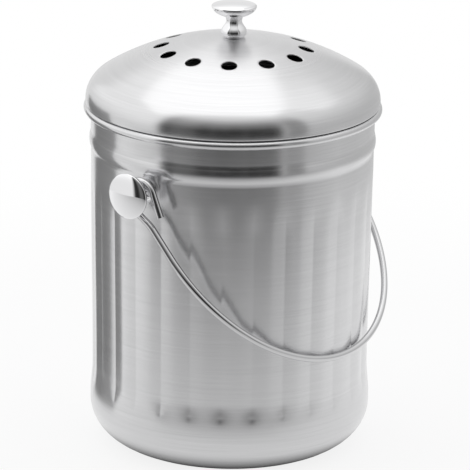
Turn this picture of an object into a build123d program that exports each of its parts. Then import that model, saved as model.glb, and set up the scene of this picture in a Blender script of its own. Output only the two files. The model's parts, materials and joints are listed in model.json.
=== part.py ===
"""Stainless compost caddy: fluted bucket, lift-off domed lid with filter, wire bail on two knobs.

Millimetres. +Z is up, the origin is at the middle of the base, the bail turns about X and hangs
towards -Y.
"""

from build123d import *
import math
import os

# ---- bucket: drawn sheet -------------------------------------------------------------------
SHEET = 0.6                  # bucket and dome sheet thickness
BAND_R = 86.9                # outside radius of the plain band under the rim
PIVOT_BAND_R = 86.65         # outside radius of the plain band round the pivots
WAIST_R = 85.5               # outside radius of the panels at the foot of the flutes
FOOT_BAND_R = 86.8           # outside radius of the plain band above the bottom corner
RIM_TOP_Z = 215.6            # top of the rolled rim
CURL_R = 2.5                 # outside radius of the rolled rim
CURL_TURN = 290              # degrees that the rim is rolled
BEAD_Z = 193.2               # middle of the swaged bead
BEAD_HALF = 4.8              # half of the bead's height
BEAD_OUT = 1.0               # how far the bead stands out
CORNER_REACH = 29.5          # bottom corner, measured across
CORNER_RISE = 25.0           # bottom corner, measured up
FOOT_RING_R = 52.0           # inside radius of the ring that the bucket stands on
PUSH_UP = 1.0                # how far the middle of the base is pushed up
PUSH_UP_SLOPE = 4.0          # width of the slope up to it

# ---- flutes --------------------------------------------------------------------------------
FLUTES = 28                  # pressed panels round the bucket
CREASE_DEPTH = 0.75          # how deep the creases between the panels are
CREASE_FADE = 14.0           # height over which they reach their full depth
CREASE_FOOT_RISE = 5.5       # height of their abrupt lower end
RIDGE_SHARE = 0.25           # share of a panel's width that its flat ridge takes
SWELL_FOOT_Z = 36.0          # where the foot band starts
SWELL_RISE = 17.0            # height over which the wall swells out to it
CREASE_FOOT_SHARE = 0.25     # share of the swell that lies below the creases
FLARE_LEVELS = (0.35, 0.7)   # shares of the plain flare up the wall that get a section

# ---- pivots --------------------------------------------------------------------------------
PIVOT_Z = 180.5              # height of the pivot axis
PIVOT_MARGIN = 0.6           # plain wall left below a knob's foot
KNOB_R = 13.9                # cap radius
KNOB_CAP_Z = 18.5            # height of the cap's widest part over its seat
KNOB_TOP = 2.4               # rise of the cap above its widest part
KNOB_NECK_Z = 12.0           # height at which the cap's underside meets the neck
KNOB_NECK_R = 5.5            # neck radius there
KNOB_WAIST_Z = 9.1           # height of the waist
KNOB_WAIST_R = 4.9           # waist radius
KNOB_FOOT_R = 7.9            # radius of the foot
KNOB_FOOT_Z = 2.4            # height of the foot's widest part
SCREW_R = 2.0                # screw shank radius
SCREW_HOLE_GAP = 0.2         # radial gap between a shank and the sheet's hole
TAP_GAP = 0.05               # radial gap between a shank and the knob's tapped hole
SCREW_DEPTH = 9.0            # length of the shank inside the knob
SCREW_END_GAP = 1.0          # room past the screw's end
HEAD_R = 3.8                 # screw head radius
HEAD_H = 2.6                 # screw head height
RECESS_W = 1.0               # width of the cross recess
RECESS_L = 4.2               # length of the cross recess
RECESS_D = 1.2               # depth of the cross recess
SEAL_R = 6.0                 # rubber seal radius
SEAL_T = 1.4                 # rubber seal thickness on the axis
WASHER_R = 5.4               # steel washer radius
WASHER_T = 0.8               # steel washer thickness

# ---- bail ----------------------------------------------------------------------------------
WIRE_R = 1.9                 # wire radius
SEAT_GAP = 0.3               # gap between pieces that rest on each other but move apart
EYE_R = 8.0                  # inside radius of the open eye
LEG_DRAW_IN = 13.0           # degrees by which the leg side of the eye closes
TAIL_DRAW_IN = 19.0          # degrees by which the tail side closes
EYE_LEG_W = 26.3             # distance from the axis at which the leg's bend lies
TAIL_W = 20.6                # distance from the axis at which the tail is cut off
LEG_BEND_R = 9.0             # radius of the bend between eye and leg
BAIL_REACH = 138.5           # from the pivot axis to the middle of the bail

# ---- lid -----------------------------------------------------------------------------------
LID_R = 90.2                 # outside radius of the dome's edge
EDGE_R = 1.1                 # outside radius of the turned-in edge
EDGE_WALL = 1.1              # upright height above the turned-in edge
HEM_GAP = 0.1                # gap between the hem's inner edge and the skirt's bend
SHOULDER_R = 18.2            # shoulder radius
CROWN_R = 154.0              # crown radius
VENTS = 12                   # vent holes
VENT_R = 4.9                 # vent hole radius
VENT_RING_R = 44.6           # radius of their ring
VENT_TURN = 2.4              # degrees from +X to the first vent hole, as the lid lies on the bucket
LID_WASHER_R = 8.0           # radius of the washer under the dome

# ---- skirt, filter and its retainer --------------------------------------------------------
SKIRT_T = 0.5                # skirt sheet thickness
SKIRT_GAP = 0.7              # gap between the skirt and the bucket's wall
SKIRT_FLANGE = 3.0           # width of the skirt's flange on the hem
SKIRT_BEND_R = 0.8           # bend between flange and skirt
SKIRT_DROP = 12.0            # how far the skirt reaches down into the mouth
SKIRT_LIP = 6.0              # how far its lower edge is turned in
RETAINER_WALL = 1.4          # retainer ring wall
RETAINER_FLANGE_T = 1.3      # flange that meets the skirt's turned-in edge
RETAINER_LIP = 1.5           # how far the flange stands out past the ring
RETAINER_H = 10.0            # ring height above the flange
GRID_T = 2.0                 # grid thickness
GRID_W = 2.4                 # grid bar width
GRID_SPOKES = 8              # bars from the hub outwards
GRID_HUB_R = 9.0             # hub radius
GRID_RINGS = (32.0, 57.0)    # radii of the grid's rings
FILTER_T = 8.0               # filter thickness
FILTER_GAP = 0.5             # gap between filter and ring
FILTER_EDGE = 1.5            # rounding of the filter's edge

# ---- worked out from the sizes above -------------------------------------------------------
curl_axis_r = BAND_R - SHEET + CURL_R
rim_axis_z = RIM_TOP_Z - CURL_R
lid_seat_z = RIM_TOP_Z + SEAT_GAP
shoulder_z = lid_seat_z + EDGE_R + EDGE_WALL
crown_drop = math.sqrt((CROWN_R - SHOULDER_R) ** 2 - (LID_R - SHOULDER_R) ** 2)
crown_z = shoulder_z - crown_drop
skirt_r = BAND_R - SHEET - SKIRT_GAP
skirt_foot_z = lid_seat_z - SKIRT_DROP
lip_r = skirt_r - SKIRT_LIP
hem_top_z = lid_seat_z + SHEET
hem_r = skirt_r + SKIRT_BEND_R + HEM_GAP
knob_bore_r = SCREW_R + TAP_GAP
knob_bore_depth = SCREW_DEPTH + SCREW_END_GAP
crease_top_z = PIVOT_Z - KNOB_FOOT_R - PIVOT_MARGIN
crease_foot_z = SWELL_FOOT_Z + SWELL_RISE * CREASE_FOOT_SHARE
swell_top_z = SWELL_FOOT_Z + SWELL_RISE
leg_x = PIVOT_BAND_R + KNOB_WAIST_Z
eye_line_r = EYE_R + WIRE_R
eye_w = EYE_R - KNOB_WAIST_R - SEAT_GAP


def profile(edges):
    """A face in the XZ plane, drawn with X as radius and Y as height."""
    return Plane.XZ * make_face(edges)


def sheet(outline, thickness):
    """A thin sheet's section, between its outline at no inset and at its full thickness."""
    outside = outline(0)
    inside = outline(thickness)
    ends = [
        Line(outside[0] @ 0, inside[0] @ 0),
        Line(outside[-1] @ 1, inside[-1] @ 1),
    ]
    return profile([*outside, *inside, *ends])


def smooth(share):
    """Soft start and end between 0 and 1."""
    share = min(max(share, 0.0), 1.0)
    return share * share * (3 - 2 * share)


# ---- bucket --------------------------------------------------------------------------------
def panel_radius(z):
    """Outside radius of the panels' ridges at a height in the fluted zone."""
    if z >= swell_top_z:
        share = (z - swell_top_z) / (crease_top_z - swell_top_z)
        return WAIST_R + (PIVOT_BAND_R - WAIST_R) * smooth(share)
    share = (swell_top_z - z) / SWELL_RISE
    return WAIST_R + (FOOT_BAND_R - WAIST_R) * smooth(share)


def crease_depth(z):
    """Depth of the creases under the panels' ridges at a height."""
    fade = smooth((crease_top_z - z) / CREASE_FADE)
    foot = smooth((z - crease_foot_z) / CREASE_FOOT_RISE)
    return CREASE_DEPTH * fade * foot


def flute_section(z, inset):
    """One level of the fluted wall: each panel has a flat ridge and a flank down to either crease."""
    ridge = panel_radius(z) - inset
    crease = ridge - crease_depth(z)
    step = 360 / FLUTES
    corners = []
    for i in range(FLUTES):
        for radius, place in ((crease, -0.5), (ridge, -RIDGE_SHARE / 2), (ridge, RIDGE_SHARE / 2)):
            corners.append(Vector(radius, 0, z).rotate(Axis.Z, (i + place) * step))
    return Wire.make_polygon(corners)


def flute_heights():
    """Levels of the fluted wall: close together where it changes, wide apart between."""
    fade_foot_z = crease_top_z - CREASE_FADE
    levels = [SWELL_FOOT_Z, crease_foot_z, crease_foot_z + CREASE_FOOT_RISE, swell_top_z]
    levels += [swell_top_z + (fade_foot_z - swell_top_z) * share for share in FLARE_LEVELS]
    return [*levels, fade_foot_z, fade_foot_z + CREASE_FADE / 2, crease_top_z]


def fluted_wall():
    """The fluted part of the wall, as a ring of ruled panels."""
    levels = flute_heights()
    outer = Solid.make_loft([flute_section(z, 0) for z in levels], ruled=True)
    inner = Solid.make_loft([flute_section(z, SHEET) for z in levels], ruled=True)
    return outer - inner


def foot_outline(inset):
    """Base, pushed up in the middle, the round bottom corner and the foot band."""
    corner_r = FOOT_BAND_R - CORNER_REACH
    slope_r = FOOT_RING_R - PUSH_UP_SLOPE
    wall_r = FOOT_BAND_R - inset
    return [
        Line((0, PUSH_UP + inset), (slope_r, PUSH_UP + inset)),
        Line((slope_r, PUSH_UP + inset), (FOOT_RING_R, inset)),
        Line((FOOT_RING_R, inset), (corner_r, inset)),
        EllipticalCenterArc((corner_r, CORNER_RISE), CORNER_REACH - inset, CORNER_RISE - inset,
                            start_angle=270, arc_size=90),
        Line((wall_r, CORNER_RISE), (wall_r, SWELL_FOOT_Z)),
    ]


def head_outline(inset):
    """Pivot band, swaged bead, plain band and rolled rim."""
    bead_foot = BEAD_Z - BEAD_HALF
    bead_head = BEAD_Z + BEAD_HALF
    bead_r = (PIVOT_BAND_R + BAND_R) / 2 + BEAD_OUT - inset
    pivot_r = PIVOT_BAND_R - inset
    band_r = BAND_R - inset
    return [
        Line((pivot_r, crease_top_z), (pivot_r, bead_foot)),
        ThreePointArc((pivot_r, bead_foot), (bead_r, BEAD_Z), (band_r, bead_head)),
        Line((band_r, bead_head), (band_r, rim_axis_z)),
        CenterArc((curl_axis_r, rim_axis_z), curl_axis_r - band_r, 180, -CURL_TURN),
    ]


def bucket_shell():
    foot = revolve(sheet(foot_outline, SHEET), Axis.Z)
    head = revolve(sheet(head_outline, SHEET), Axis.Z)
    shell = fluted_wall() + foot + head
    hole = Cylinder(SCREW_R + SCREW_HOLE_GAP, 4 * leg_x, rotation=(0, 90, 0))
    return shell - Pos(0, 0, PIVOT_Z) * hole


# ---- knobs and their fixings ---------------------------------------------------------------
def knob_blank():
    """A mushroom knob standing on z = 0, with some stock below to be cut to its seat."""
    stock = 1.5
    cap = Vector(KNOB_R, KNOB_CAP_Z)
    edges = [
        Line((0, -stock), (KNOB_FOOT_R - KNOB_FOOT_Z / 2, -stock)),
        Line((KNOB_FOOT_R - KNOB_FOOT_Z / 2, -stock), (KNOB_FOOT_R - KNOB_FOOT_Z / 2, 0)),
        Spline((KNOB_FOOT_R - KNOB_FOOT_Z / 2, 0), (KNOB_FOOT_R, KNOB_FOOT_Z),
               tangents=[(1, 0.6), (0, 1)]),
        Spline((KNOB_FOOT_R, KNOB_FOOT_Z), (KNOB_WAIST_R, KNOB_WAIST_Z), (KNOB_NECK_R, KNOB_NECK_Z),
               tangents=[(0, 1), (0.35, 1)]),
        Spline((KNOB_NECK_R, KNOB_NECK_Z), (cap.X, cap.Y), tangents=[(1, 0.25), (0, 1)]),
        Spline((cap.X, cap.Y), (0, KNOB_CAP_Z + KNOB_TOP), tangents=[(0, 1), (-1, 0)]),
        Line((0, KNOB_CAP_Z + KNOB_TOP), (0, -stock)),
    ]
    knob = revolve(profile(edges), Axis.Z)
    bore = Cylinder(knob_bore_r, knob_bore_depth + stock, align=(Align.CENTER, Align.CENTER, Align.MIN))
    return knob - Pos(0, 0, -stock) * bore


def pan_screw(grip):
    """A pan-head screw, its head's underside at z = -grip and its shank pointing up."""
    top = (Align.CENTER, Align.CENTER, Align.MAX)
    bottom = (Align.CENTER, Align.CENTER, Align.MIN)
    head_solid = Pos(0, 0, -grip) * Cylinder(HEAD_R, HEAD_H, align=top)
    rounded = head_solid.edges().group_by(Axis.Z)[0]
    head_solid = fillet(rounded, HEAD_H * 0.55)
    shank = Pos(0, 0, -grip) * Cylinder(SCREW_R, grip + SCREW_DEPTH, align=bottom)
    slot = Box(RECESS_L, RECESS_W, RECESS_D, align=bottom) + Box(RECESS_W, RECESS_L, RECESS_D, align=bottom)
    return head_solid + shank - Pos(0, 0, -grip - HEAD_H) * slot


def disc(radius, low, high):
    """A washer blank round Z between two heights, with its screw hole."""
    blank = Cylinder(radius, high - low, align=(Align.CENTER, Align.CENTER, Align.MIN))
    hole = Cylinder(SCREW_R + SCREW_HOLE_GAP, 4 * (high - low))
    return Pos(0, 0, low) * (blank - hole)


def on_side(piece, side):
    """Turn a piece that stands on z = 0 so that it stands on the bucket's wall."""
    placed = Pos(PIVOT_BAND_R, 0, PIVOT_Z) * Rot(0, 90, 0) * piece
    return placed.rotate(Axis.Z, 0 if side == "right" else 180)


def wall_core(radius):
    """A solid cylinder of the wall's size round the pivots' height."""
    return Pos(0, 0, PIVOT_Z) * Cylinder(radius, 4 * KNOB_R)


def pivot_knob(side):
    return on_side(knob_blank(), side) - wall_core(PIVOT_BAND_R)


def pivot_seal(side):
    blank = on_side(disc(SEAL_R, -SHEET - SEAL_T, 0), side)
    return blank & wall_core(PIVOT_BAND_R - SHEET)


def pivot_washer(side):
    return on_side(disc(WASHER_R, -SHEET - SEAL_T - WASHER_T, -SHEET - SEAL_T), side)


def pivot_screw(side):
    return on_side(pan_screw(SHEET + SEAL_T + WASHER_T), side)


# ---- bail ----------------------------------------------------------------------------------
def tangent_n(draw_in, w):
    """Distance from the eye's middle line of a side that closes by an angle, at distance w."""
    angle = math.radians(draw_in)
    return eye_line_r / math.cos(angle) - (w - eye_w) * math.tan(angle)


leg_n = tangent_n(LEG_DRAW_IN, EYE_LEG_W)
bail_length = math.hypot(BAIL_REACH, leg_n)


def rest_angle(wall_r):
    """Angle below level at which the bail's middle meets a wall of this outside radius."""
    return math.acos((wall_r + WIRE_R + SEAT_GAP) / bail_length)


rest_wall_r = panel_radius(PIVOT_Z - bail_length * math.sin(rest_angle(WAIST_R)))
bail_hang = math.degrees(rest_angle(rest_wall_r) - math.atan2(leg_n, BAIL_REACH))
full_swing = 180 + 2 * math.degrees(rest_angle(rest_wall_r))


def bail_point(x, w, n):
    """A point of the bail: across, away from the axis along the bail, and inward square to it."""
    angle = math.radians(bail_hang)
    y = -w * math.cos(angle) + n * math.sin(angle)
    z = PIVOT_Z - w * math.sin(angle) - n * math.cos(angle)
    return Vector(x, y, z)


def eye_side(x):
    """One end of the bail from its cut tail round the eye to the leg's bend, as edges."""
    def on_eye(degrees):
        a = math.radians(degrees)
        return bail_point(x, eye_w + eye_line_r * math.cos(a), eye_line_r * math.sin(a))

    turn = LEG_BEND_R * math.tan(math.radians(LEG_DRAW_IN / 2))
    along = math.radians(LEG_DRAW_IN)
    bend_in = bail_point(x, EYE_LEG_W - turn * math.cos(along), leg_n + turn * math.sin(along))
    bend_out = bail_point(x, EYE_LEG_W + turn, leg_n)
    centre_n = leg_n + LEG_BEND_R
    half = math.radians(LEG_DRAW_IN / 2)
    bend_mid = bail_point(x, EYE_LEG_W + turn - LEG_BEND_R * math.sin(half),
                          centre_n - LEG_BEND_R * math.cos(half))
    leg_touch = 90 - LEG_DRAW_IN
    tail_touch = 270 + TAIL_DRAW_IN
    tail_end = bail_point(x, TAIL_W, -tangent_n(TAIL_DRAW_IN, TAIL_W))
    return [
        Edge.make_line(tail_end, on_eye(tail_touch)),
        Edge.make_three_point_arc(on_eye(tail_touch), on_eye((leg_touch + tail_touch) / 2), on_eye(leg_touch)),
        Edge.make_line(on_eye(leg_touch), bend_in),
        Edge.make_three_point_arc(bend_in, bend_mid, bend_out),
    ]


def bail_handle():
    bow_w = BAIL_REACH - leg_x
    left = eye_side(-leg_x)
    right = eye_side(leg_x)
    left_bow = bail_point(-leg_x, bow_w, leg_n)
    right_bow = bail_point(leg_x, bow_w, leg_n)
    bow = [
        Edge.make_line(left[-1] @ 1, left_bow),
        Edge.make_three_point_arc(left_bow, bail_point(0, BAIL_REACH, leg_n), right_bow),
        Edge.make_line(right_bow, right[-1] @ 1),
    ]
    path = Wire([*left, *bow, *right])
    start = Plane(origin=left[0] @ 0, z_dir=left[0] % 0)
    return sweep(start * Circle(WIRE_R), path=path)


# ---- lid -----------------------------------------------------------------------------------
def crown_height(radius, inset=0.0):
    """Height of the crown's surface at a radius, outside or inset into the sheet."""
    return crown_z + math.sqrt((CROWN_R - inset) ** 2 - radius ** 2)


def dome_outline(inset):
    """Crown, shoulder, upright edge and turned-in hem."""
    shoulder = Vector(LID_R - SHOULDER_R, shoulder_z)
    lean = math.degrees(math.atan2(crown_drop, LID_R - SHOULDER_R))
    edge = (LID_R - EDGE_R, lid_seat_z + EDGE_R)
    return [
        CenterArc((0, crown_z), CROWN_R - inset, 90, lean - 90),
        CenterArc((shoulder.X, shoulder.Y), SHOULDER_R - inset, lean, -lean),
        Line((LID_R - inset, shoulder_z), (LID_R - inset, edge[1])),
        CenterArc(edge, EDGE_R - inset, 0, -90),
        Line((edge[0], lid_seat_z + inset), (hem_r, lid_seat_z + inset)),
    ]


def lid_dome():
    dome = revolve(sheet(dome_outline, SHEET), Axis.Z)
    vent = Pos(VENT_RING_R, 0, crown_height(VENT_RING_R)) * Cylinder(VENT_R, 2 * SHOULDER_R)
    for i in range(VENTS):
        dome -= vent.rotate(Axis.Z, VENT_TURN + i * 360 / VENTS)
    return dome - Pos(0, 0, crown_z + CROWN_R) * Cylinder(SCREW_R + SCREW_HOLE_GAP, 4 * SHEET)


def lid_knob():
    core = Pos(0, 0, crown_z) * Sphere(CROWN_R)
    return Pos(0, 0, crown_z + CROWN_R) * knob_blank() - core


def lid_knob_washer():
    top = crown_height(LID_WASHER_R, SHEET)
    return disc(LID_WASHER_R, top - WASHER_T, top)


def lid_knob_screw():
    seat = crown_z + CROWN_R
    grip = seat - (crown_height(LID_WASHER_R, SHEET) - WASHER_T)
    return Pos(0, 0, seat) * pan_screw(grip)


def skirt_outline(inset):
    """Flange that lies on the hem, upright ring and turned-in lower edge, with a bend between each."""
    bend = (skirt_r + SKIRT_BEND_R, hem_top_z - SKIRT_BEND_R)
    foot = (skirt_r - SKIRT_BEND_R, skirt_foot_z + SKIRT_BEND_R)
    return [
        Line((skirt_r + SKIRT_FLANGE, hem_top_z + inset), (bend[0], hem_top_z + inset)),
        CenterArc(bend, SKIRT_BEND_R + inset, 90, 90),
        Line((skirt_r - inset, bend[1]), (skirt_r - inset, foot[1])),
        CenterArc(foot, SKIRT_BEND_R - inset, 0, -90),
        Line((foot[0], skirt_foot_z + inset), (lip_r, skirt_foot_z + inset)),
    ]


def lid_skirt():
    return revolve(sheet(skirt_outline, SKIRT_T), Axis.Z)


# ---- filter --------------------------------------------------------------------------------
ring_r = lip_r - SEAT_GAP
flange_top_z = skirt_foot_z - SEAT_GAP
flange_foot_z = flange_top_z - RETAINER_FLANGE_T
filter_z = flange_foot_z + GRID_T


def filter_retainer():
    inside_r = ring_r - RETAINER_WALL
    ring = Circle(ring_r) - Circle(inside_r)
    lip = Circle(ring_r + RETAINER_LIP) - Circle(inside_r)
    grid = Circle(GRID_HUB_R)
    for i in range(GRID_SPOKES):
        bar = Pos(inside_r / 2, 0) * Rectangle(inside_r + RETAINER_WALL, GRID_W)
        grid += Rot(0, 0, i * 360 / GRID_SPOKES) * bar
    for radius in GRID_RINGS:
        grid += Circle(radius + GRID_W / 2) - Circle(radius - GRID_W / 2)
    body = extrude(Pos(0, 0, flange_foot_z) * lip, RETAINER_FLANGE_T)
    body += extrude(Pos(0, 0, flange_top_z) * ring, RETAINER_H)
    body += extrude(Pos(0, 0, flange_foot_z) * grid, GRID_T)
    return body


def charcoal_filter():
    radius = ring_r - RETAINER_WALL - FILTER_GAP
    pad = Pos(0, 0, filter_z) * Cylinder(radius, FILTER_T, align=(Align.CENTER, Align.CENTER, Align.MIN))
    return fillet(pad.edges(), FILTER_EDGE)


# ---- files ---------------------------------------------------------------------------------
pieces = {
    "bucket_shell": bucket_shell(),
    "bail_handle": bail_handle(),
    "lid_dome": lid_dome(),
    "lid_skirt": lid_skirt(),
    "lid_knob": lid_knob(),
    "lid_knob_screw": lid_knob_screw(),
    "lid_knob_washer": lid_knob_washer(),
    "filter_retainer": filter_retainer(),
    "charcoal_filter": charcoal_filter(),
}
for side in ("left", "right"):
    pieces["pivot_knob_" + side] = pivot_knob(side)
    pieces["pivot_screw_" + side] = pivot_screw(side)
    pieces["pivot_seal_" + side] = pivot_seal(side)
    pieces["pivot_washer_" + side] = pivot_washer(side)

os.makedirs("parts", exist_ok=True)
for name, piece in pieces.items():
    export_step(piece, "parts/" + name + ".step")
print("bail hangs", round(bail_hang, 2), "degrees below level, full swing", round(full_swing, 2))
print("top", round(crown_z + CROWN_R + KNOB_CAP_Z + KNOB_TOP, 1), "filter foot", round(flange_foot_z, 2))
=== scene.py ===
"""Compost caddy of brushed steel: bucket, vented lid, knobs and wire bail, with its studio."""

import json
import math

import bpy
import numpy as np
from mathutils import Matrix, Vector


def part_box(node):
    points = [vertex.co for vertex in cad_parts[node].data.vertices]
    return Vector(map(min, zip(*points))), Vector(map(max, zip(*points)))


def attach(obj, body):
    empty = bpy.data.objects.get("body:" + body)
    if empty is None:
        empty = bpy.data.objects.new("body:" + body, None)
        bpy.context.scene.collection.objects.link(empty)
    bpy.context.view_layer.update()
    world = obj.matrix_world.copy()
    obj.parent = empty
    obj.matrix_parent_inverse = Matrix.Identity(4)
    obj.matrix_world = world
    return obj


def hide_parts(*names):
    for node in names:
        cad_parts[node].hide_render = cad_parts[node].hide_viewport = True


bl_info = {
    "name": "Steel compost caddy",
    "version": (1, 0, 0),
    "blender": (4, 5, 0),
    "location": "3D View > Sidebar > Caddy",
    "description": "Builds a fluted steel caddy with a vented lid, knobs, a wire bail and its studio",
    "category": "Add Mesh",
}

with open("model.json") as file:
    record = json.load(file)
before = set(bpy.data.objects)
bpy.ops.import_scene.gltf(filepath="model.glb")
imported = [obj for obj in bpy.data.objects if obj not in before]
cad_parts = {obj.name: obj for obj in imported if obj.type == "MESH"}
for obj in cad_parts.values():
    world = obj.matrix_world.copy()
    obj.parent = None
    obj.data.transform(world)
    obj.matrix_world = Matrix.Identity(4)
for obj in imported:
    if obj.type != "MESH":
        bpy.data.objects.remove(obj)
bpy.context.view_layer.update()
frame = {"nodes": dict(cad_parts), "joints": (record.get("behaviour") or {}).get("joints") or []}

MM = 0.001
DEGREES = 180 / math.pi
bucket_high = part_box("bucket_shell")[1]
lid_low, lid_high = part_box("lid_dome")
lid_knob_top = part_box("lid_knob")[1].z
side_knob_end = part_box("pivot_knob_right")[1].x
pivot = Vector(next(j["pos_m"] for j in frame["joints"] if j["name"] == "bail_swing"))


def length(name, millimetres, description):
    """A length property, given in millimetres."""
    return bpy.props.FloatProperty(name=name, description=description,
                                   default=millimetres * MM, unit="LENGTH")


def angle(name, degrees, description):
    """An angle property, given in degrees."""
    return bpy.props.FloatProperty(name=name, description=description,
                                   default=math.radians(degrees), unit="ROTATION", subtype="ANGLE")


def grey(name, value, description):
    """A colour property that starts as a neutral grey."""
    return bpy.props.FloatVectorProperty(name=name, description=description, size=3, subtype="COLOR",
                                         min=0, max=1, default=(value, value, value * 1.01))


# ---- sizes and finishes --------------------------------------------------------------------
class BucketSizes(bpy.types.PropertyGroup):
    """Drawn and fluted bucket."""
    sheet: length("Sheet", 0.6, "Thickness of the drawn sheet")
    flutes: bpy.props.IntProperty(name="Flutes", description="Pressed panels round the wall",
                                  default=28, min=3)
    crease_depth: length("Crease depth", 0.75, "How deep the creases lie under the ridges")
    crease_top: length("Crease top", 178, "Height at which the flutes start")
    crease_fade: length("Crease fade", 26, "Height over which they reach their full depth")
    crease_foot: length("Crease foot", 34, "Lower end of the creases")
    crease_foot_rise: length("Crease foot rise", 15, "Height of their abrupt lower end")
    ridge: bpy.props.FloatProperty(name="Ridge softness", default=0.30, min=0.01,
                                   description="Rounding of a ridge, as a share of a flank")
    dimple_depth: length("Dimple depth", 0.08, "Extra depth of the pit at a crease's foot")
    dimple_radius: length("Dimple radius", 1.4, "Size of that pit")
    waist: length("Waist radius", 85.5, "Outside radius of the ridges low on the wall")
    pivot_band: length("Pivot band radius", 86.65, "Outside radius round the pivots")
    pivot_band_foot: length("Pivot band foot", 172, "Height above which the wall is upright")
    foot_band: length("Foot band radius", 86.8, "Outside radius of the band over the bottom corner")
    swell_top: length("Swell top", 50, "Height at which the wall starts to swell out")
    swell_foot: length("Swell foot", 28, "Height at which the swell is complete")
    band: length("Band radius", 86.9, "Outside radius of the plain band under the rim")
    bead: length("Bead height", 193.2, "Height of the middle of the swaged bead")
    bead_half: length("Bead half height", 4.8, "Half of the bead's height")
    bead_out: length("Bead rise", 1.0, "How far the bead stands out")
    corner_reach: length("Corner reach", 30.5, "Bottom corner, measured across")
    corner_rise: length("Corner rise", 26, "Bottom corner, measured up")
    foot_ring: length("Foot ring radius", 52, "Inside radius of the ring that it stands on")
    push_up: length("Push-up", 1, "How far the middle of the base is pushed up")
    push_up_slope: length("Push-up slope", 4, "Width of the slope up to it")
    curl_turn: angle("Rim turn", 290, "How far the rim is rolled")


class LidSizes(bpy.types.PropertyGroup):
    """Spun, vented lid."""
    sheet: length("Sheet", 0.6, "Thickness of the spun sheet")
    edge: length("Edge radius", 1.1, "Outside radius of the turned-in edge")
    edge_wall: length("Edge wall", 1.1, "Upright height above the turned-in edge")
    hem: length("Hem", 2.4, "Width of the flat hem under the edge")
    shoulder: length("Shoulder radius", 18.2, "Radius of the shoulder")
    crown: length("Crown radius", 154, "Radius of the crown")
    vents: bpy.props.IntProperty(name="Vents", description="Vent holes", default=12, min=3)
    vent: length("Vent radius", 4.9, "Radius of a vent hole")
    vent_ring: length("Vent ring radius", 44.2, "Radius of the ring of vents")
    vent_turn: angle("Vent turn", 2.4, "Turn from +X to the first vent")
    vent_edge: length("Vent edge", 0.12, "Rounding of a vent's punched edge")
    screw_hole: length("Screw hole", 2.2, "Radius of the hole in the middle")


class KnobSizes(bpy.types.PropertyGroup):
    """Mushroom knobs."""
    foot: length("Foot radius", 7.9, "Radius of the foot")
    foot_height: length("Foot height", 2.4, "Height of the foot's widest part")
    waist: length("Waist radius", 4.9, "Radius of the waist")
    waist_height: length("Waist height", 9.1, "Height of the waist")
    neck: length("Neck radius", 5.5, "Radius where the cap begins")
    neck_height: length("Neck height", 12.0, "Height where the cap begins")
    cap: length("Cap radius", 13.8, "Radius of the cap")
    cap_height: length("Cap height", 18.5, "Height of the cap's widest part")
    cap_rise: length("Cap rise", 2.4, "Rise of the cap over its widest part")
    sunk: length("Sunk", 0.5, "How far the foot reaches into its seat")


class BailSizes(bpy.types.PropertyGroup):
    """Wire bail."""
    wire: length("Wire radius", 2.1, "Radius of the wire")
    eye: length("Eye radius", 7.8, "Inside radius of the open eye")
    eye_shift: length("Eye shift", 2.8, "From the axis to the middle of the eye, along the bail")
    leg_draw_in: angle("Leg draw-in", 15, "How far the leg side of the eye closes")
    tail_draw_in: angle("Tail draw-in", 19, "How far the tail side closes")
    eye_leg: length("Eye leg", 21, "From the axis to the leg's bend")
    tail: length("Tail", 20.6, "From the axis to the cut tail")
    leg_bend: length("Leg bend", 20, "Radius of the bend between eye and leg")
    reach: length("Reach", 139.3, "From the axis to the middle of the bail")
    leg: length("Leg", 95.75, "From the middle to a leg, across")
    hang: angle("Hang", 48.75, "Angle below level at rest")


class Finishes(bpy.types.PropertyGroup):
    """Colours of the finishes."""
    steel: grey("Brushed steel", 0.70, "Bucket and lid")
    chrome: grey("Chrome", 0.88, "Knobs")
    wire: grey("Wire", 0.66, "Bail")
    screw: grey("Screw steel", 0.55, "Screws and washers")
    rubber: grey("Rubber", 0.03, "Seals")
    plastic: grey("Plastic", 0.035, "Filter retainer")
    charcoal: grey("Charcoal", 0.02, "Filter pad")
    floor: grey("Floor", 0.86, "Studio floor")


class StudioSettings(bpy.types.PropertyGroup):
    """Camera and studio."""
    azimuth: angle("Azimuth", -54.3, "Camera's turn round the object")
    elevation: angle("Elevation", 17.38, "Camera's height over the horizon")
    roll: angle("Roll", 0.74, "Camera's roll")
    distance: length("Distance", 2394, "From the camera to its target")
    target: length("Target height", 130.5, "Height of the camera's target")
    aside: length("Aside", 2.25, "The target's distance to the right of the axis")
    lens: bpy.props.FloatProperty(name="Lens", description="Focal length",
                                  default=296.8, subtype="DISTANCE_CAMERA")
    floor_radius: length("Floor radius", 800, "Radius of the round floor")


GROUPS = {
    "caddy_bucket": BucketSizes,
    "caddy_lid": LidSizes,
    "caddy_knob": KnobSizes,
    "caddy_bail": BailSizes,
    "caddy_finish": Finishes,
    "caddy_studio": StudioSettings,
}


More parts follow.
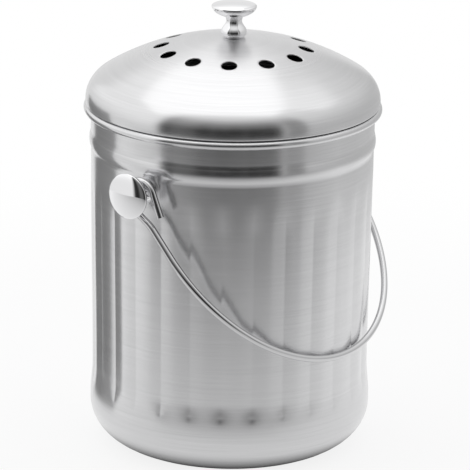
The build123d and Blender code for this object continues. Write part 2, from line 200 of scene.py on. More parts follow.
# ---- node trees ----------------------------------------------------------------------------
class Value:
    """A node socket whose maths is written as an expression."""

    def __init__(self, tree, socket):
        self.tree = tree
        self.socket = socket

    def math(self, operation, *others):
        node = self.tree.nodes.new("ShaderNodeMath")
        node.operation = operation
        for place, item in zip(node.inputs, (self, *others)):
            feed(self.tree, place, item)
        return Value(self.tree, node.outputs[0])

    def __add__(self, other):
        return self.math("ADD", other)

    __radd__ = __add__

    def __mul__(self, other):
        return self.math("MULTIPLY", other)

    __rmul__ = __mul__

    def __sub__(self, other):
        return self.math("SUBTRACT", other)

    def __rsub__(self, other):
        return (self * -1).math("ADD", other)

    def __truediv__(self, other):
        return self.math("DIVIDE", other)

    def step(self, low, high):
        """Soft step from 0 below low to 1 above high."""
        node = self.tree.nodes.new("ShaderNodeMapRange")
        node.interpolation_type = "SMOOTHSTEP"
        for place, item in zip(node.inputs, (self, low, high, 0.0, 1.0)):
            feed(self.tree, place, item)
        return Value(self.tree, node.outputs[0])

    def between(self, low, high, soft):
        """Soft mask that is 1 between two values."""
        return self.step(low - soft, low + soft) * (1 - self.step(high - soft, high + soft))

    def toward(self, other, share):
        """This value, moved towards another by a share."""
        return self * (1 - share) + share * other


def feed(tree, place, item):
    """Links a value to a socket, or sets the socket."""
    if isinstance(item, Value):
        tree.links.new(item.socket, place)
    else:
        place.default_value = item


class Nodes:
    """Adds nodes to one tree: settings first, then the sockets' values or links."""

    def __init__(self, tree):
        self.tree = tree
        tree.nodes.clear()

    def add(self, kind, settings=None, sockets=None, out=0):
        node = self.tree.nodes.new(kind)
        for name, setting in (settings or {}).items():
            setattr(node, name, setting)
        for name, item in (sockets or {}).items():
            feed(self.tree, node.inputs[name], item)
        return Value(self.tree, node.outputs[out]) if node.outputs else node


# ---- finishes ------------------------------------------------------------------------------
def new_material(name):
    material = bpy.data.materials.new(name)
    material.use_nodes = True
    return material, Nodes(material.node_tree)


def finish(nodes, sockets):
    """The one shader of a finish, with its output."""
    shader = nodes.add("ShaderNodeBsdfPrincipled", {}, sockets)
    nodes.add("ShaderNodeOutputMaterial", {}, {"Surface": shader})


def shade(nodes, colour, low, high, share):
    """A colour that varies by a share between two levels of itself."""
    darker = (*[c * low for c in colour], 1)
    lighter = (*[c * high for c in colour], 1)
    return nodes.add("ShaderNodeMix", {"data_type": "RGBA"}, {0: share, 6: darker, 7: lighter}, out=2)


def object_axes(nodes):
    place = nodes.add("ShaderNodeTexCoord", {}, {}, out=3)
    node = nodes.tree.nodes.new("ShaderNodeSeparateXYZ")
    feed(nodes.tree, node.inputs[0], place)
    return [Value(nodes.tree, node.outputs[i]) for i in range(3)]


def from_axis(x, y):
    """Distance from the Z axis."""
    return (x * x + y * y).math("SQRT")


def noise(nodes, x, y, z, detail=2.0, roughness=0.5):
    """Noise on three coordinates that are already scaled."""
    place = nodes.add("ShaderNodeCombineXYZ", {}, {0: x, 1: y, 2: z})
    return nodes.add("ShaderNodeTexNoise", {}, {
        "Vector": place, "Scale": 1.0, "Detail": detail, "Roughness": roughness})


def grain(nodes, axes, scale, detail=2.0, roughness=0.5):
    """Even noise, with its scale in grains per metre."""
    return noise(nodes, *[axis * scale for axis in axes], detail, roughness)


def relief(nodes, height, strength, depth):
    """A bump of a depth in millimetres, for a shader's normal."""
    return nodes.add("ShaderNodeBump", {}, {"Strength": strength, "Distance": depth * MM, "Height": height})


BRUSHED = 0.23                # roughness of the bucket's and the lid's steel


def turned_steel(name, colour, roughness, across):
    """Steel with fine brush lines round the Z axis: across gives the coordinate that crosses them."""
    material, nodes = new_material(name)
    x, y, z = object_axes(nodes)
    way = across(x, y, z)
    # Lines per metre across the brushing, and how slowly they change along it.
    fine = noise(nodes, x * 14, y * 14, way * 2600, 3.0, 0.7)
    broad = noise(nodes, x * 9, y * 9, way * 240, 2.0, 0.6)
    smudge = grain(nodes, (x, y, z), 22, 3.0)
    lines = fine * 0.75 + broad * 0.25
    # The middle of the crown is duller, because the brush turns on the spot there.
    middle = 1 - from_axis(x, y).step(30 * MM, 70 * MM)
    finish(nodes, {
        "Base Color": shade(nodes, colour, 0.83, 1.17, lines),
        "Metallic": 1.0,
        "Roughness": roughness + middle * 0.11 + (lines - 0.5) * 0.09 + (smudge - 0.5) * 0.03,
        "Anisotropic": 0.63,
        "Anisotropic Rotation": 0.25,
        "Normal": relief(nodes, fine, 0.05, 0.05),
    })
    return material


def bright_metal(name, colour, roughness, variation):
    """Polished metal with faint smears."""
    material, nodes = new_material(name)
    axes = object_axes(nodes)
    smear = grain(nodes, axes, 160, 3.0, 0.6)
    haze = grain(nodes, axes, 35)
    finish(nodes, {
        "Base Color": shade(nodes, colour, 0.97, 1.03, haze),
        "Metallic": 1.0,
        "Roughness": roughness + (smear - 0.5) * variation + (haze - 0.5) * variation,
    })
    return material


def moulded_plastic(name, colour):
    """Moulded plastic with a fine grain."""
    material, nodes = new_material(name)
    axes = object_axes(nodes)
    pits = grain(nodes, axes, 1800)
    flow = grain(nodes, axes, 40)
    finish(nodes, {
        "Base Color": shade(nodes, colour, 0.85, 1.2, flow),
        "Roughness": 0.42 + (pits - 0.5) * 0.15 + (flow - 0.5) * 0.08,
        "Normal": relief(nodes, pits, 0.25, 0.08),
    })
    return material


def fibre_pad(name, colour):
    """Matted charcoal fibres."""
    material, nodes = new_material(name)
    x, y, z = object_axes(nodes)
    fibres = noise(nodes, x * 900, y * 300, z * 900, 4.0, 0.7)
    crossing = noise(nodes, x * 300, y * 900, z * 900, 4.0, 0.7)
    mat = (fibres + crossing) * 0.5
    finish(nodes, {
        "Base Color": shade(nodes, colour, 0.4, 2.4, mat.step(0.35, 0.65)),
        "Roughness": 0.9 + (mat - 0.5) * 0.1,
        "Sheen Weight": 0.2,
        "Normal": relief(nodes, mat, 0.8, 0.5),
    })
    return material


def soft_rubber(name, colour):
    """Black rubber with a dusty bloom."""
    material, nodes = new_material(name)
    bloom = grain(nodes, object_axes(nodes), 500, 3.0, 0.6)
    finish(nodes, {
        "Base Color": shade(nodes, colour, 0.8, 1.6, bloom),
        "Roughness": 0.65 + (bloom - 0.5) * 0.2,
        "Normal": relief(nodes, bloom, 0.2, 0.1),
    })
    return material


def finish_named(name, make, *settings):
    """The material of that name, made the first time that it is asked for."""
    return bpy.data.materials.get(name) or make(name, *settings)


def bucket_steel():
    """The bucket's brush lines run level."""
    colour = bpy.context.scene.caddy_finish.steel
    return finish_named("brushed_round", turned_steel, colour, BRUSHED, lambda x, y, z: z)


def lid_steel():
    """The lid's brush lines run round its middle."""
    colour = bpy.context.scene.caddy_finish.steel
    return finish_named("spun_steel", turned_steel, colour, BRUSHED, lambda x, y, z: from_axis(x, y) - z)


def knob_chrome():
    return finish_named("mirror_chrome", bright_metal, bpy.context.scene.caddy_finish.chrome, 0.03, 0.02)


def bail_steel():
    return finish_named("polished_wire", bright_metal, bpy.context.scene.caddy_finish.wire, 0.06, 0.03)


def screw_steel():
    return finish_named("screw_steel", bright_metal, bpy.context.scene.caddy_finish.screw, 0.3, 0.1)


# ---- shapes --------------------------------------------------------------------------------
def arc(centre, radius, start, end, steps, rise=None):
    """Points of an arc in a profile, in degrees; rise gives an ellipse's other half axis."""
    rise = radius if rise is None else rise
    turns = np.radians(np.linspace(start, end, steps + 1))
    return [(centre[0] + radius * math.cos(t), centre[1] + rise * math.sin(t)) for t in turns]


def bezier(start, leave, arrive, end, steps):
    """Points of a cubic curve in a profile."""
    points = []
    for t in np.linspace(0, 1, steps + 1):
        k = ((1 - t) ** 3, 3 * t * (1 - t) ** 2, 3 * t * t * (1 - t), t ** 3)
        points.append(tuple(sum(w * p[i] for w, p in zip(k, (start, leave, arrive, end))) for i in range(2)))
    return points


def smooth(share):
    share = np.clip(share, 0, 1)
    return share * share * (3 - 2 * share)


def turned(profile, angles):
    """Rings of points: one for each point of a profile, turned to each angle."""
    profile = np.array(profile)
    x = profile[:, :1] * np.cos(angles)
    y = profile[:, :1] * np.sin(angles)
    z = np.repeat(profile[:, 1:], len(angles), axis=1)
    return np.stack([x, y, z], axis=-1)


def skin(name, grids):
    """A mesh over grids of points, each grid a strip of its own; face sides follow the grids' order."""
    points = []
    faces = []
    for grid in grids:
        rows, columns = grid.shape[:2]
        first = len(points)
        points += grid.reshape(-1, 3).tolist()
        for i in range(rows - 1):
            for j in range(columns - 1):
                corner = first + i * columns + j
                faces.append((corner, corner + 1, corner + columns + 1, corner + columns))
    mesh = bpy.data.meshes.new(name)
    mesh.from_pydata(points, [], faces)
    piece = bpy.data.objects.new(name, mesh)
    bpy.context.scene.collection.objects.link(piece)
    return piece


def geometry_tree(name, inputs):
    """An empty geometry tree with a geometry in and out, and its other inputs by name."""
    tree = bpy.data.node_groups.new(name, "GeometryNodeTree")
    nodes = Nodes(tree)
    tree.interface.new_socket("Geometry", in_out="INPUT", socket_type="NodeSocketGeometry")
    tree.interface.new_socket("Geometry", in_out="OUTPUT", socket_type="NodeSocketGeometry")
    for label, kind in inputs.items():
        tree.interface.new_socket(label, in_out="INPUT", socket_type=kind)
    entry = tree.nodes.new("NodeGroupInput")
    return tree, nodes, {socket.name: Value(tree, socket) for socket in entry.outputs if socket.name}


def close_tree(nodes, geometry, material):
    """Realize Instances, smooth shading and Set Material, then the output."""
    real = nodes.add("GeometryNodeRealizeInstances", {}, {"Geometry": geometry})
    whole = nodes.add("GeometryNodeMergeByDistance", {}, {"Geometry": real, "Distance": 0.01 * MM})
    soft = nodes.add("GeometryNodeSetShadeSmooth", {}, {"Geometry": whole})
    made = nodes.add("GeometryNodeSetMaterial", {}, {"Geometry": soft, "Material": material})
    nodes.add("NodeGroupOutput", {}, {"Geometry": made})


def ring_tree():
    """Repeats a sector round the Z axis and joins the copies."""
    tree, nodes, given = geometry_tree("Ring of sectors", {
        "Count": "NodeSocketInt", "Turn": "NodeSocketFloat", "Material": "NodeSocketMaterial"})
    points = nodes.add("GeometryNodePoints", {}, {"Count": given["Count"]})
    turn = nodes.add("GeometryNodeInputIndex") * math.tau / given["Count"] + given["Turn"]
    euler = nodes.add("ShaderNodeCombineXYZ", {}, {2: turn})
    rotation = nodes.add("FunctionNodeEulerToRotation", {}, {0: euler})
    copies = nodes.add("GeometryNodeInstanceOnPoints", {}, {
        "Points": points, "Instance": given["Geometry"], "Rotation": rotation})
    close_tree(nodes, copies, given["Material"])
    return tree


def wire_tree():
    """Draws a round wire along a path."""
    tree, nodes, given = geometry_tree("Wire on a path", {
        "Radius": "NodeSocketFloat", "Sides": "NodeSocketInt", "Material": "NodeSocketMaterial"})
    section = nodes.add("GeometryNodeCurvePrimitiveCircle", {}, {
        "Resolution": given["Sides"], "Radius": given["Radius"]})
    path = nodes.add("GeometryNodeMeshToCurve", {}, {"Mesh": given["Geometry"]})
    wire = nodes.add("GeometryNodeCurveToMesh", {}, {
        "Curve": path, "Profile Curve": section, "Fill Caps": True})
    close_tree(nodes, wire, given["Material"])
    return tree


def run_tree(piece, tree, **inputs):
    """Runs a geometry tree on a piece and keeps the result as its plain mesh."""
    modifier = piece.modifiers.new(tree.name, "NODES")
    modifier.node_group = tree
    inward = [item for item in tree.interface.items_tree if item.in_out == "INPUT"]
    identifiers = {item.name: item.identifier for item in inward}
    for name, value in inputs.items():
        modifier[identifiers[name.capitalize()]] = value
    depsgraph = bpy.context.evaluated_depsgraph_get()
    mesh = bpy.data.meshes.new_from_object(piece.evaluated_get(depsgraph))
    piece.modifiers.clear()
    old = piece.data
    piece.data = mesh
    bpy.data.meshes.remove(old)
    mesh.name = piece.name
    return piece


def place(piece, body, slot, *nodes):
    """Puts a finished piece on its body, in place of its CAD nodes."""
    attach(piece, body)
    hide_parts(*nodes)
    return piece


# ---- bucket --------------------------------------------------------------------------------
def wall_radius(sizes, z):
    """Outside radius of the ridges at heights between the foot band and the pivot band."""
    flare = (z - sizes.swell_top) / (sizes.pivot_band_foot - sizes.swell_top)
    swell = (sizes.swell_top - z) / (sizes.swell_top - sizes.swell_foot)
    upper = sizes.waist + (sizes.pivot_band - sizes.waist) * smooth(flare)
    lower = sizes.waist + (sizes.foot_band - sizes.waist) * smooth(swell)
    return np.where(z > sizes.swell_top, upper, lower)


def bucket_profile(sizes, inset, fine):
    """Half section of the bucket from the middle of the base to the end of the curl."""
    corner = sizes.foot_band - sizes.corner_reach
    slope = sizes.foot_ring - sizes.push_up_slope
    points = [(r, sizes.push_up + inset) for r in np.linspace(0, slope, 5)]
    points += [(r, inset) for r in np.linspace(sizes.foot_ring, corner, 2)]
    points += arc((corner, sizes.corner_rise), sizes.corner_reach - inset, 270, 360, 14 if fine else 8,
                  sizes.corner_rise - inset)[1:]
    # Rows up the wall, in millimetres: they lie closest where the creases start and end.
    heights = [*np.arange(30, 36, 2.0), *np.arange(36, 56, 1.0 if fine else 2.5)]
    heights += [*np.arange(58, 70, 4.0), *np.linspace(74, 154, 9)]
    heights += np.arange(158, 188, 2.0 if fine else 5.0).tolist()
    heights = np.array(heights) * MM
    points += list(zip(wall_radius(sizes, heights) - inset, heights))
    crest = sizes.bead_out + (sizes.band + sizes.pivot_band) / 2
    for share in np.linspace(-1, 1, 13 if fine else 7):
        side = sizes.pivot_band if share < 0 else sizes.band
        lift = (crest - side) * (1 - share * share)
        points.append((side + lift - inset, sizes.bead + share * sizes.bead_half))
    curl = (bucket_high.x + sizes.band - sizes.sheet) / 2
    curl_r = bucket_high.x - curl
    curl_z = bucket_high.z - curl_r
    points += [(sizes.band - inset, z) for z in np.linspace(points[-1][1], curl_z, 8)[1:-1]]
    end = 180 - math.degrees(sizes.curl_turn)
    points += arc((curl, curl_z), curl_r - sizes.sheet + inset, 180, end, 26 if fine else 18)
    return points


def press_flutes(sizes, grid, angles):
    """Moves the wall's points in to the flutes of one panel, whose middle is at angle 0."""
    half = math.pi / sizes.flutes
    radius = np.hypot(grid[..., 0], grid[..., 1])
    z = grid[..., 2]
    across = np.abs(np.broadcast_to(angles / half, radius.shape))
    soft = sizes.ridge
    wave = (np.sqrt(across ** 2 + soft ** 2) - soft) / (math.sqrt(1 + soft ** 2) - soft)
    fade = smooth((sizes.crease_top - z) / sizes.crease_fade)
    foot = smooth((z - sizes.crease_foot) / sizes.crease_foot_rise)
    on_wall = radius > sizes.waist - 2 * sizes.sheet
    depth = sizes.crease_depth * wave * fade * foot
    dimple = sizes.crease_foot + 0.4 * sizes.crease_foot_rise
    along = (z - dimple) / sizes.dimple_radius
    aside = (1 - across) * half * sizes.waist / sizes.dimple_radius
    depth += sizes.dimple_depth * np.exp(-along ** 2 - aside ** 2)
    scale = 1 - np.where(on_wall, depth, 0) / np.maximum(radius, MM)
    grid[..., 0] *= scale
    grid[..., 1] *= scale
    return grid


class CADDY_OT_bucket(bpy.types.Operator):
    """Build the fluted bucket"""
    bl_idname = "caddy.bucket"
    bl_label = "Bucket"

    def execute(self, context):
        sizes = context.scene.caddy_bucket
        half = math.pi / sizes.flutes
        # The columns crowd towards the creases.
        crowding = 1.35
        side = 1 - (1 - np.linspace(0, 1, 8)) ** crowding
        angles = half * np.concatenate([-side[:0:-1], side])
        outside = turned(bucket_profile(sizes, 0, True), angles)
        inside = turned(bucket_profile(sizes, sizes.sheet, False)[::-1], angles)
        grid = press_flutes(sizes, np.concatenate([outside, inside]), angles)
        piece = skin("bucket", [grid])
        run_tree(piece, ring_tree(), count=sizes.flutes, turn=0.0, material=bucket_steel())
        place(piece, "bucket", "bucket_steel", "bucket_shell")
        return {"FINISHED"}


# ---- lid -----------------------------------------------------------------------------------
def crown_middle(sizes):
    """Heights of the shoulder's and the crown's centres."""
    shoulder = lid_low.z + sizes.edge + sizes.edge_wall
    flat = lid_high.x - sizes.shoulder
    return shoulder, shoulder - math.sqrt((sizes.crown - sizes.shoulder) ** 2 - flat ** 2)


def crown_height(sizes, radius, inset):
    return crown_middle(sizes)[1] + np.sqrt((sizes.crown - inset) ** 2 - radius ** 2)


def lid_edge_profile(sizes, inset, start, fine):
    """Half section of the lid from a radius on the crown to the end of the hem."""
    shoulder_z, crown_z = crown_middle(sizes)
    flat = lid_high.x - sizes.shoulder
    lean = math.degrees(math.atan2(shoulder_z - crown_z, flat))
    first = math.degrees(math.acos(start / (sizes.crown - inset)))
    points = arc((0, crown_z), sizes.crown - inset, first, lean, 6 if fine else 3)
    points += arc((flat, shoulder_z), sizes.shoulder - inset, lean, 0, 20 if fine else 8)[1:]
    edge = (lid_high.x - sizes.edge, lid_low.z + sizes.edge)
    points += arc(edge, sizes.edge - inset, 0, -90, 8)
    points.append((edge[0] - sizes.hem, lid_low.z + inset))
    return points


def vent_patch(sizes, inset, spread, reach):
    """Rings of points on the crown from a vent's edge out to its sector's square."""
    square = [(1, s) for s in spread] + [(-s, 1) for s in spread[1:]]
    square += [(-1, -s) for s in spread[1:]] + [(s, -1) for s in spread[1:]]
    u, v = np.array(square).T
    turn = v * math.pi / sizes.vents
    radius = sizes.vent_ring + u * reach
    outer = np.stack([radius * np.cos(turn), radius * np.sin(turn)], axis=-1)
    away = np.arctan2(v, u)
    rings = []
    edge = sizes.vent_edge
    # Each ring has its distance from the hole's side and its share of the way out to the square.
    for grown, share in ((0, 0), (edge, 0), (edge, 0.12), (edge, 0.3), (edge, 0.6), (edge, 1)):
        hole = sizes.vent + grown
        inner = np.stack([sizes.vent_ring + hole * np.cos(away), hole * np.sin(away)], axis=-1)
        flat = inner + (outer - inner) * share
        z = crown_height(sizes, np.hypot(flat[:, 0], flat[:, 1]), inset)
        if grown == 0:
            z += edge if inset else -edge
        rings.append(np.column_stack([flat, z]))
    return np.array(rings)


class CADDY_OT_lid(bpy.types.Operator):
    """Build the vented lid"""
    bl_idname = "caddy.lid"
    bl_label = "Lid"

    def execute(self, context):
        sizes = context.scene.caddy_lid
        spread = np.tan(np.linspace(-math.pi / 4, math.pi / 4, 13))
        angles = spread * math.pi / sizes.vents
        reach = 10 * MM
        near = sizes.vent_ring - reach
        far = sizes.vent_ring + reach
        grids = []
        for inset in (0, sizes.sheet):
            turns = np.linspace(math.asin(sizes.screw_hole / (sizes.crown - inset)),
                                math.asin(near / (sizes.crown - inset)), 10)
            middle = [(r, crown_height(sizes, r, inset)) for r in (sizes.crown - inset) * np.sin(turns)]
            edge = lid_edge_profile(sizes, inset, far, not inset)
            vent = vent_patch(sizes, inset, spread, reach)
            if inset:
                grids += [turned(middle, angles), vent, turned(edge, angles)]
            else:
                grids += [turned(middle[::-1], angles), vent[::-1], turned(edge[::-1], angles)]
                tops = (middle[0], edge[-1], vent[0])
        grids.append(turned([tops[0], (tops[0][0], tops[0][1] - sizes.sheet)], angles))
        grids.append(turned([(tops[1][0], tops[1][1] + sizes.sheet), tops[1]], angles))
        grids.append(np.array([vent[0], tops[2]]))
        piece = skin("lid", grids)
        run_tree(piece, ring_tree(), count=sizes.vents, turn=sizes.vent_turn, material=lid_steel())
        place(piece, "lid", "lid_steel", "lid_dome")
        return {"FINISHED"}


# ---- knobs ---------------------------------------------------------------------------------
def knob_profile(sizes):
    """Half section of a knob from under its foot to the middle of its cap."""
    inner = sizes.foot - sizes.foot_height / 2
    foot = (sizes.foot, sizes.foot_height)
    waist = (sizes.waist, sizes.waist_height)
    neck = (sizes.neck, sizes.neck_height)
    cap = (sizes.cap, sizes.cap_height)
    top = (0, sizes.cap_height + sizes.cap_rise)
    seat = (inner, 0)

    def off(point, out, up):
        """A curve's handle, in millimetres out and up from its end."""
        return (point[0] + out * MM, point[1] + up * MM)

    points = [(0, -sizes.sunk), (inner, -sizes.sunk)]
    points += bezier(seat, off(seat, 0.9, 0.5), off(foot, 0, -1.2), foot, 8)
    points += bezier(foot, off(foot, 0, 2.6), off(waist, 0, -2.4), waist, 14)[1:]
    points += bezier(waist, off(waist, 0, 1.2), off(neck, -0.35, -1), neck, 8)[1:]
    points += bezier(neck, off(neck, 3.6, 1.0), off(cap, 0, -3.2), cap, 16)[1:]
    points += bezier(cap, off(cap, 0, 1.1), off(top, 6.5, 0), top, 18)[1:]
    return points


def knob(name, sizes, seat, body, node):
    """A knob whose axis is turned and moved to its seat."""
    profile = knob_profile(sizes)
    piece = skin(name, [turned(profile, np.linspace(0, math.tau / 8, 13))])
    run_tree(piece, ring_tree(), count=8, turn=0.0, material=knob_chrome())
    piece.data.transform(seat)
    place(piece, body, "knob_chrome", node)


class CADDY_OT_knobs(bpy.types.Operator):
    """Build the lid's knob and the two pivot knobs"""
    bl_idname = "caddy.knobs"
    bl_label = "Knobs"

    def execute(self, context):
        sizes = context.scene.caddy_knob
        height = sizes.cap_height + sizes.cap_rise
        knob("knob_on_lid", sizes, Matrix.Translation((0, 0, lid_knob_top - height)), "lid", "lid_knob")
        for side, sign in (("left", -1), ("right", 1)):
            seat = Vector((sign * (side_knob_end - height), 0, pivot.z))
            turn = Matrix.Rotation(sign * math.pi / 2, 4, "Y")
            knob("knob_" + side, sizes, Matrix.Translation(seat) @ turn, "bucket", "pivot_knob_" + side)
        return {"FINISHED"}


# ---- bail ----------------------------------------------------------------------------------
def bail_side(sizes):
    """One end of the bail in its own plane, from the cut tail to the bow, as (along, inward) points."""
    line = sizes.eye + sizes.wire

    def on_eye(turn):
        return (sizes.eye_shift + line * math.cos(turn), line * math.sin(turn))

    def side(draw_in, along):
        return line / math.cos(draw_in) - (along - sizes.eye_shift) * math.tan(draw_in)

    leg = side(sizes.leg_draw_in, sizes.eye_leg)
    turn = sizes.leg_bend * math.tan(sizes.leg_draw_in / 2)
    points = [(sizes.tail, -side(sizes.tail_draw_in, sizes.tail))]
    points += [on_eye(t) for t in np.linspace(math.radians(270) + sizes.tail_draw_in,
                                              math.radians(90) - sizes.leg_draw_in, 40)]
    middle = (sizes.eye_leg + turn, leg + sizes.leg_bend)
    for t in np.linspace(-sizes.leg_draw_in, 0, 7):
        points.append((middle[0] + sizes.leg_bend * math.sin(t), middle[1] - sizes.leg_bend * math.cos(t)))
    return points, leg


class CADDY_OT_bail(bpy.types.Operator):
    """Build the wire bail"""
    bl_idname = "caddy.bail"
    bl_label = "Bail"

    def execute(self, context):
        sizes = context.scene.caddy_bail
        ends, leg = bail_side(sizes)
        left = [(-sizes.leg, w, n) for w, n in ends]
        middle = sizes.reach - sizes.leg
        bow = [(-sizes.leg * math.cos(t), middle + sizes.leg * math.sin(t), leg)
               for t in np.linspace(0, math.pi, 97)]
        right = [(sizes.leg, w, n) for w, n in ends[::-1]]
        path = []
        for x, w, n in [*left, *bow, *right]:
            y = -w * math.cos(sizes.hang) + n * math.sin(sizes.hang)
            z = pivot.z - w * math.sin(sizes.hang) - n * math.cos(sizes.hang)
            path.append((x, y, z))
        mesh = bpy.data.meshes.new("bail")
        mesh.from_pydata(path, [(i, i + 1) for i in range(len(path) - 1)], [])
        piece = bpy.data.objects.new("bail", mesh)
        context.scene.collection.objects.link(piece)
        run_tree(piece, wire_tree(), radius=sizes.wire, sides=28, material=bail_steel())
        place(piece, "bail", "bail_wire", "bail_handle")
        return {"FINISHED"}


# ---- inner pieces --------------------------------------------------------------------------
def dress(node, material):
    """Gives a CAD piece its finish."""
    piece = frame["nodes"][node]
    piece.data.materials.clear()
    piece.data.materials.append(material)


class CADDY_OT_fixings(bpy.types.Operator):
    """Finish the screws, washers and seals"""
    bl_idname = "caddy.fixings"
    bl_label = "Fixings"

    def execute(self, context):
        rubber = finish_named("seal_rubber", soft_rubber, context.scene.caddy_finish.rubber)
        for side in ("left", "right"):
            dress("pivot_screw_" + side, screw_steel())
            dress("pivot_washer_" + side, screw_steel())
            dress("pivot_seal_" + side, rubber)
        dress("lid_knob_screw", screw_steel())
        dress("lid_knob_washer", screw_steel())
        return {"FINISHED"}


class CADDY_OT_filter(bpy.types.Operator):
    """Finish the skirt, the filter and its retainer"""
    bl_idname = "caddy.filter"
    bl_label = "Filter"

    def execute(self, context):
        colours = context.scene.caddy_finish
        dress("lid_skirt", lid_steel())
        dress("filter_retainer", finish_named("retainer_plastic", moulded_plastic, colours.plastic))
        dress("charcoal_filter", finish_named("charcoal_fibre", fibre_pad, colours.charcoal))
        return {"FINISHED"}


# ---- stage ---------------------------------------------------------------------------------
def camera_ways(settings, x, y):
    """Coordinates along the studio's right and back, as the camera stands at its front."""
    cosine = math.cos(settings.azimuth)
    sine = math.sin(settings.azimuth)
    return x * cosine + y * sine, y * cosine - x * sine


def studio_world(settings):
    """White to the camera; to the metal, a studio with a dark front and soft boxes round it.

    Azimuths run from the camera towards the right and elevations from the horizon up, in degrees.
    """
    world = bpy.data.worlds.new("studio")
    world.use_nodes = True
    nodes = Nodes(world.node_tree)
    direction = nodes.add("ShaderNodeTexCoord", {}, {}, out=0)
    split = nodes.tree.nodes.new("ShaderNodeSeparateXYZ")
    feed(nodes.tree, split.inputs[0], direction)
    x, y, z = [Value(nodes.tree, split.outputs[i]) for i in range(3)]
    right, back = camera_ways(settings, x, y)
    azimuth = right.math("ARCTAN2", back * -1) * DEGREES
    elevation = z.math("ARCSINE") * DEGREES
    high = elevation.step(30.0, 62.0)
    # The dark front, with faint upright streaks and a greyer patch on its left.
    streaks = noise(nodes, azimuth * 0.16, elevation * 0.01, 0.0, 2.0, 0.6)
    front = (streaks - 0.45).math("MAXIMUM", 0.0) * 0.3 + 0.02 + elevation.step(14.0, 30.0) * 0.2
    front = (front + azimuth.between(-48.0, -30.0, 5.0) * 0.1).toward(0.92, high)
    corner = high * 0.6 + 0.3
    # Both sides brighten with height, and the back more so.
    right_side = elevation.step(0.0, 45.0) * 0.27 + elevation.step(40.0, 66.0) * 0.1 + 0.6
    left_side = elevation.step(-5.0, 20.0) * 0.22 + 0.86
    level = elevation.step(22.0, 40.0) * 0.28 + 0.84
    level = level.toward(left_side, azimuth.between(-150.0, -58.0, 4.0))
    level = level.toward(right_side, azimuth.between(60.0, 168.0, 4.0))
    # A high window box stands behind the right side.
    window = azimuth.between(98.0, 150.0, 4.0) * elevation.between(43.0, 66.0, 6.0)
    level = level.toward(1.15, window)
    level = level.toward(front, azimuth.between(-59.0, 39.0, 3.0))
    level = level.toward(corner, azimuth.between(39.0, 60.0, 3.0))
    # The panel overhead is a slanted box on a level ceiling, one unit above the object.
    over = z.math("MAXIMUM", 0.05)
    aside = right / over
    deep = back / over
    panel = (aside - deep * 0.5).step(-0.97, -0.87) * (1 - (aside + deep * 0.2).step(0.35, 0.43))
    panel = panel * deep.between(-0.36, 1.2, 0.1) * z.step(0.0, 0.2)
    level = level.toward(1.42, panel)
    # A thin strip light stands at the dark front's right edge.
    strip = azimuth.between(41.2, 43.4, 0.4) * (1 - elevation.step(30.0, 36.0))
    level = level + strip * 0.35
    seen = nodes.add("ShaderNodeLightPath", {}, {}, out=0)
    strength = level.toward(1.0, seen)
    light = nodes.add("ShaderNodeBackground", {}, {"Color": (1, 1, 1, 1), "Strength": strength})
    nodes.add("ShaderNodeOutputWorld", {}, {"Surface": light})
    return world


def glow(nodes, strength):
    return nodes.add("ShaderNodeEmission", {}, {"Color": (1, 1, 1, 1), "Strength": strength})


def floor_material(settings, colour):
    """Pale floor: white to the camera but for the shadow; to the metal a painted glow, darker towards the
    front, with a painted shadow under the bucket.
    """
    material, nodes = new_material("studio_floor")
    x, y, z = object_axes(nodes)
    right, back = camera_ways(settings, x, y)
    away = from_axis(x, y).math("MAXIMUM", 0.01)
    speckle = grain(nodes, (x, y, z), 60)
    lit = nodes.add("ShaderNodeBsdfDiffuse", {}, {"Color": shade(nodes, colour, 0.99, 1.01, speckle)})
    white = glow(nodes, 1.0)
    # To the metal the floor glows with painted light: bright beside the bucket, falling off before it, and
    # dark under it as a painted shadow.
    beside = 0.97 - away.step(0.42, 0.68) * right.step(-0.1, 0.2) * 0.35
    before = (0.95 - away * 1.22).math("MAXIMUM", 0.05)
    toward_camera = (back * -1 / away).math("MAXIMUM", 0.0)
    # The glow that only the metal sees: painted light, with a painted shadow near the bucket's foot.
    painted_glow = glow(nodes, beside.toward(before, toward_camera) * away.step(0.064, 0.092))
    to_camera = nodes.add("ShaderNodeLightPath", {}, {}, out=0)
    to_metal = nodes.add("ShaderNodeLightPath", {}, {}, out=3)
    edge = away.step(0.25, 0.62) * 0.15 + 0.85
    seen = nodes.add("ShaderNodeMixShader", {}, {0: to_camera * edge, 1: lit, 2: white})
    both = nodes.add("ShaderNodeMixShader", {}, {0: to_metal * 0.85, 1: seen, 2: painted_glow})
    nodes.add("ShaderNodeOutputMaterial", {}, {"Surface": both})
    return material


def dark_card(settings, turn):
    """A faintly glowing grey card that only the metal sees, upright on the floor to the left of the bucket:
    a painted dark reflection in the steel.
    """
    # Its two ends, in millimetres to the camera's right and back, and its height.
    foot = [turn @ Vector(end) * MM for end in ((-184, -13, 0), (-144, 80, 0))]
    top = [end + Vector((0, 0, 215 * MM)) for end in foot]
    card = skin("dark_card", [np.array([foot, top])])
    material, nodes = new_material("dark_card")
    x, y, z = object_axes(nodes)
    back = camera_ways(settings, x, y)[1]
    # Painted reflection: the card glows faintly, and less towards the back, so the metal shows a dark
    # stripe.
    nodes.add("ShaderNodeOutputMaterial", {}, {"Surface": glow(nodes, 0.3 - back * 1.2)})
    card.data.materials.append(material)
    for ray in ("camera", "diffuse", "transmission", "shadow"):
        setattr(card, "visible_" + ray, False)
    return card


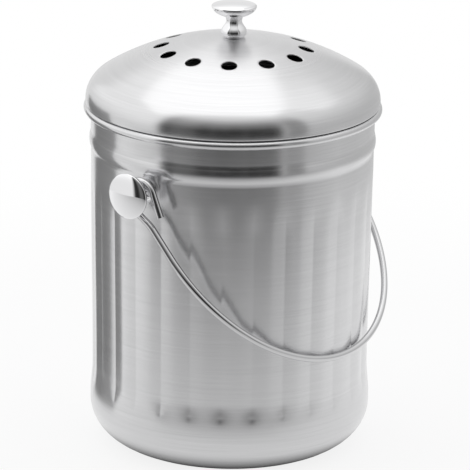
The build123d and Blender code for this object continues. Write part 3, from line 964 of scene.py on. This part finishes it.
class CADDY_OT_stage(bpy.types.Operator):
    """Set up the floor, the studio and the camera"""
    bl_idname = "caddy.stage"
    bl_label = "Stage"

    def execute(self, context):
        scene = context.scene
        settings = scene.caddy_studio
        scene.view_settings.view_transform = "Standard"
        scene.world = studio_world(settings)
        radii = np.linspace(settings.floor_radius, 0, 5)
        floor = skin("floor", [turned([(r, 0) for r in radii], np.linspace(0, math.tau, 97))])
        floor.data.materials.append(floor_material(settings, scene.caddy_finish.floor))
        turn = Matrix.Rotation(settings.azimuth, 3, "Z")
        dark_card(settings, turn)
        forward = turn @ Vector((0, math.cos(settings.elevation), -math.sin(settings.elevation)))
        right = turn @ Vector((1, 0, 0))
        up = right.cross(forward)
        x_axis = right * math.cos(settings.roll) + up * math.sin(settings.roll)
        y_axis = up * math.cos(settings.roll) - right * math.sin(settings.roll)
        target = right * settings.aside + Vector((0, 0, settings.target))
        data = bpy.data.cameras.new("camera")
        data.lens = settings.lens
        camera = bpy.data.objects.new("camera", data)
        scene.collection.objects.link(camera)
        axes = Matrix((x_axis, y_axis, -forward)).transposed()
        camera.matrix_world = Matrix.Translation(target - forward * settings.distance) @ axes.to_4x4()
        scene.camera = camera
        return {"FINISHED"}


class CADDY_PT_panel(bpy.types.Panel):
    """Sizes, finishes and steps of the caddy"""
    bl_idname = "CADDY_PT_panel"
    bl_label = "Compost caddy"
    bl_space_type = "VIEW_3D"
    bl_region_type = "UI"
    bl_category = "Caddy"

    def draw(self, context):
        for operator in OPERATORS:
            self.layout.operator(operator.bl_idname)
        for name, group in GROUPS.items():
            box = self.layout.box()
            box.label(text=group.__doc__)
            for item in group.__annotations__:
                box.prop(getattr(context.scene, name), item)


OPERATORS = (CADDY_OT_bucket, CADDY_OT_lid, CADDY_OT_knobs, CADDY_OT_bail, CADDY_OT_fixings, CADDY_OT_filter,
             CADDY_OT_stage)


def register():
    for item in (*GROUPS.values(), *OPERATORS, CADDY_PT_panel):
        bpy.utils.register_class(item)
    for name, group in GROUPS.items():
        setattr(bpy.types.Scene, name, bpy.props.PointerProperty(type=group))


def unregister():
    for name in GROUPS:
        delattr(bpy.types.Scene, name)
    for item in (CADDY_PT_panel, *OPERATORS, *GROUPS.values()):
        bpy.utils.unregister_class(item)


def main():
    register()
    for operator in OPERATORS:
        group, name = operator.bl_idname.split(".")
        getattr(getattr(bpy.ops, group), name)()


if __name__ == "__main__":
    main()
